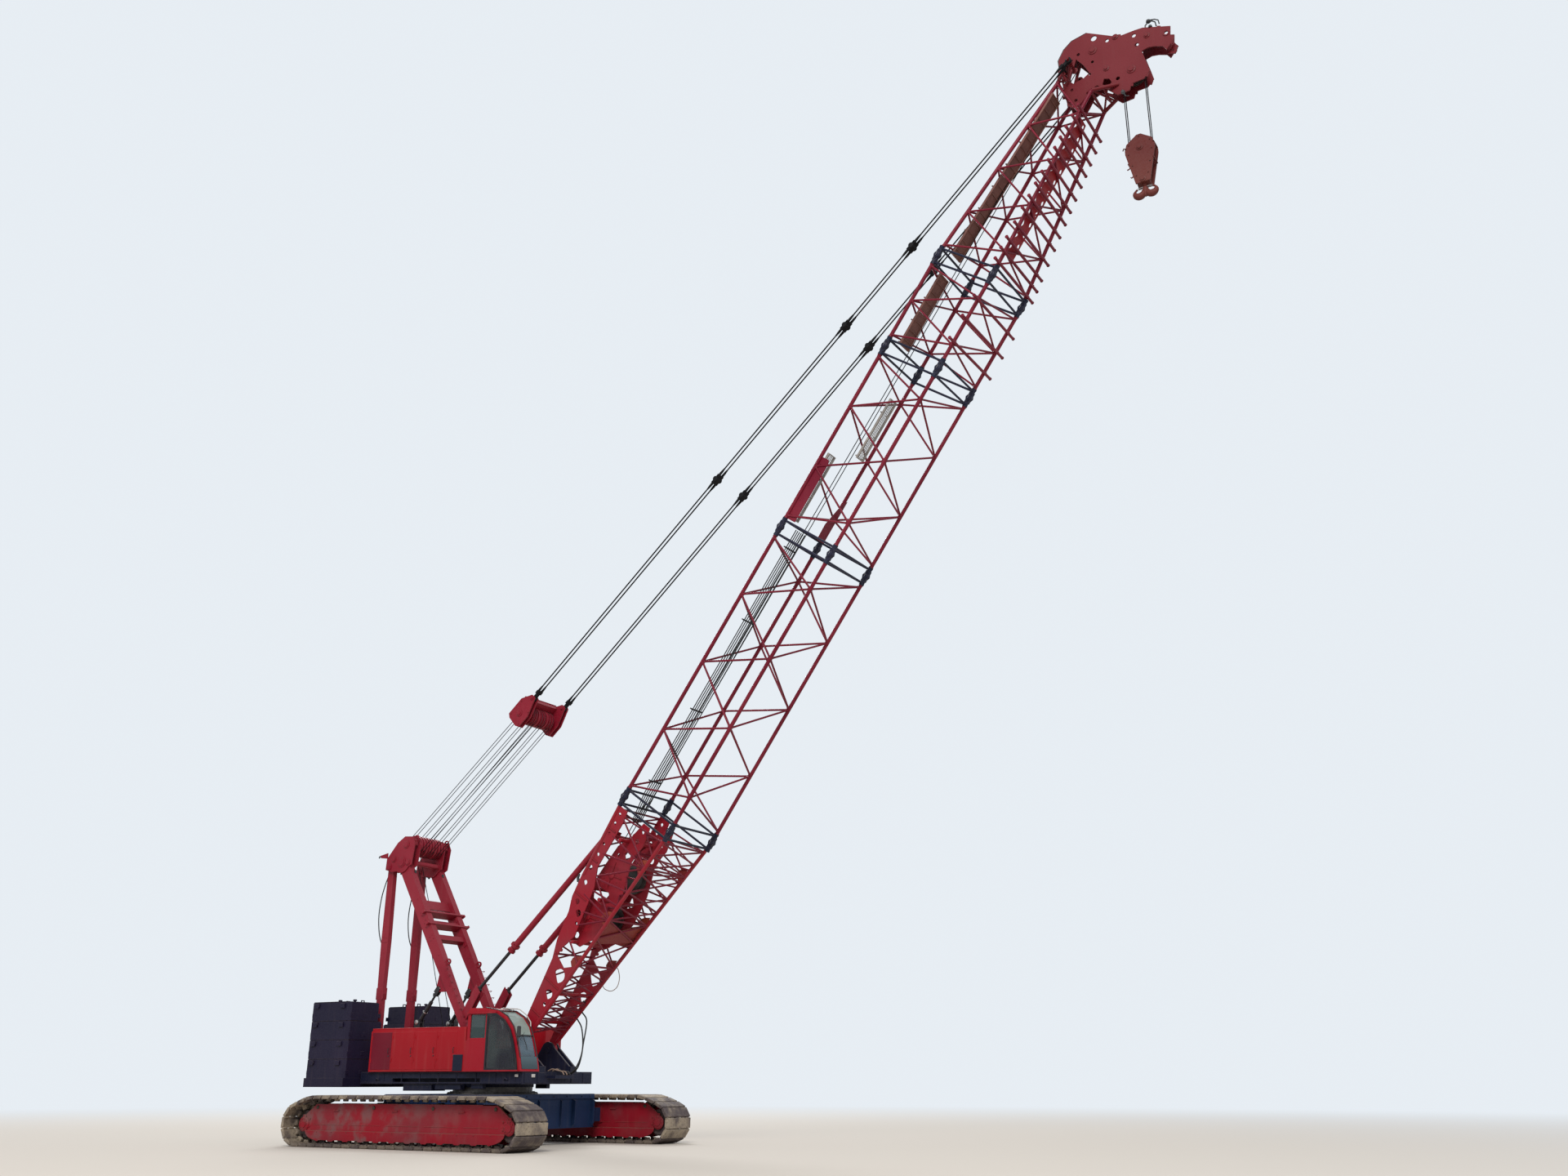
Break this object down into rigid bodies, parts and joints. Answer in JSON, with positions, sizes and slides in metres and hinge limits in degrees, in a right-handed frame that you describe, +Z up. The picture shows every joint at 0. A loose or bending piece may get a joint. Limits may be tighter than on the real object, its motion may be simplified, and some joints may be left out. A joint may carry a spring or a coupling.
{
  "type": "crawler crane",
  "caption": "Crawler crane with a lattice boom at rest angle, gantry, pendants, stacked counterweights, side cab and double hook block; slews, luffs and hoists.",
  "frame": {"origin": "slewing axis at ground level, midway between the tracks", "axes": "+X towards the boom head, +Y to the crane's left (the cab is on the right), +Z up"},
  "size_m": [28.9671, 7.85, 31.0056],
  "materials": {
    "red_paint": "gloss enamel, dulled by weather",
    "navy_paint": "satin enamel",
    "blue_paint": "satin enamel, dusty",
    "black_paint": "satin",
    "track_steel": "dry dust over worn steel",
    "bare_steel": "greased and dulled",
    "rope_wire": "greased",
    "block_paint": "faded and rusty",
    "seat_cloth": "matte",
    "glass": "clear, lightly tinted"
  },
  "bodies": {
    "undercarriage": {"carbody": "blue_paint", "slew_ring": "bare_steel", "track_frame_right": "red_paint", "track_frame_left": "red_paint", "track_right": "track_steel", "track_left": "track_steel", "drive_sprockets": "track_steel", "front_idlers": "track_steel", "track_rollers_right": "track_steel", "track_rollers_left": "track_steel"},
    "upperstructure": {"main_frame": "navy_paint", "house_right": "red_paint", "house_left": "red_paint", "engine_block": "bare_steel", "luffing_winch": "bare_steel", "cab_shell": "red_paint", "cab_windows": "glass", "operator_seat": "seat_cloth", "gantry_front_legs": "red_paint", "gantry_rear_struts": "red_paint", "gantry_head": "red_paint", "gantry_sheaves": "red_paint", "gantry_cylinders": "black_paint", "counterweight_tray": "navy_paint", "counterweight_right": "navy_paint", "counterweight_left": "navy_paint"},
    "sliding_door": {"cab_door": "red_paint", "cab_door_pane": "glass"},
    "boom": {"boom_base": "red_paint", "main_winch": "bare_steel", "second_winch": "bare_steel", "boom_insert_a": "red_paint", "boom_insert_b": "red_paint", "boom_insert_c": "red_paint", "boom_top": "red_paint", "boom_head": "red_paint", "head_sheaves": "bare_steel", "section_connectors": "navy_paint", "pendants": "black_paint", "bridle": "red_paint"},
    "backstop_tube": {"backstop_tubes": "red_paint"},
    "backstop_rod": {"backstop_rods": "black_paint"},
    "hook_line": {"hoist_falls": "rope_wire"},
    "lower_block": {"hook_block": "block_paint"},
    "double_hook": {"hook": "block_paint"}
  },
  "joints": [
    {"name": "slew", "type": "hinge", "parent": "undercarriage", "child": "upperstructure", "pos_m": [0, 0, 1.6], "axis": [0, 0, 1], "continuous": true},
    {"name": "door_slide", "type": "slide", "parent": "upperstructure", "child": "sliding_door", "axis": [-1, 0, 0], "range_m": [0, 0.62]},
    {"name": "boom_luff", "type": "hinge", "parent": "upperstructure", "child": "boom", "pos_m": [1.565, 0, 2.642], "axis": [0, -1, 0], "range_deg": [-24, 26]},
    {"name": "backstop_swing", "type": "hinge", "parent": "boom", "child": "backstop_tube", "pos_m": [4.5483, 0, 8.7504], "axis": [0, -1, 0], "range_deg": [-2, 2]},
    {"name": "backstop_stroke", "type": "slide", "parent": "backstop_tube", "child": "backstop_rod", "axis": [-0.7394, 0, -0.6732], "range_m": [-1.25, 1.15]},
    {"name": "line_plumb", "type": "hinge", "parent": "boom", "child": "hook_line", "pos_m": [21.94857, 0, 29.17877], "axis": [0, -1, 0], "range_deg": [-26.5, 24.5]},
    {"name": "hoist", "type": "slide", "parent": "hook_line", "child": "lower_block", "axis": [0, 0, 1], "range_m": [-14, 0.8], "deforming": ["hoist_falls"]},
    {"name": "hook_swivel", "type": "hinge", "parent": "lower_block", "child": "double_hook", "pos_m": [21.94857, 0, 25.6], "axis": [0, 0, 1], "continuous": true}
  ],
  "couplings": [
    {"joint": "backstop_swing", "follows": "boom_luff", "ratio": -0.016},
    {"joint": "backstop_stroke", "follows": "boom_luff", "m_per_rad": -2.675},
    {"joint": "line_plumb", "follows": "boom_luff", "ratio": -1}
  ]
}
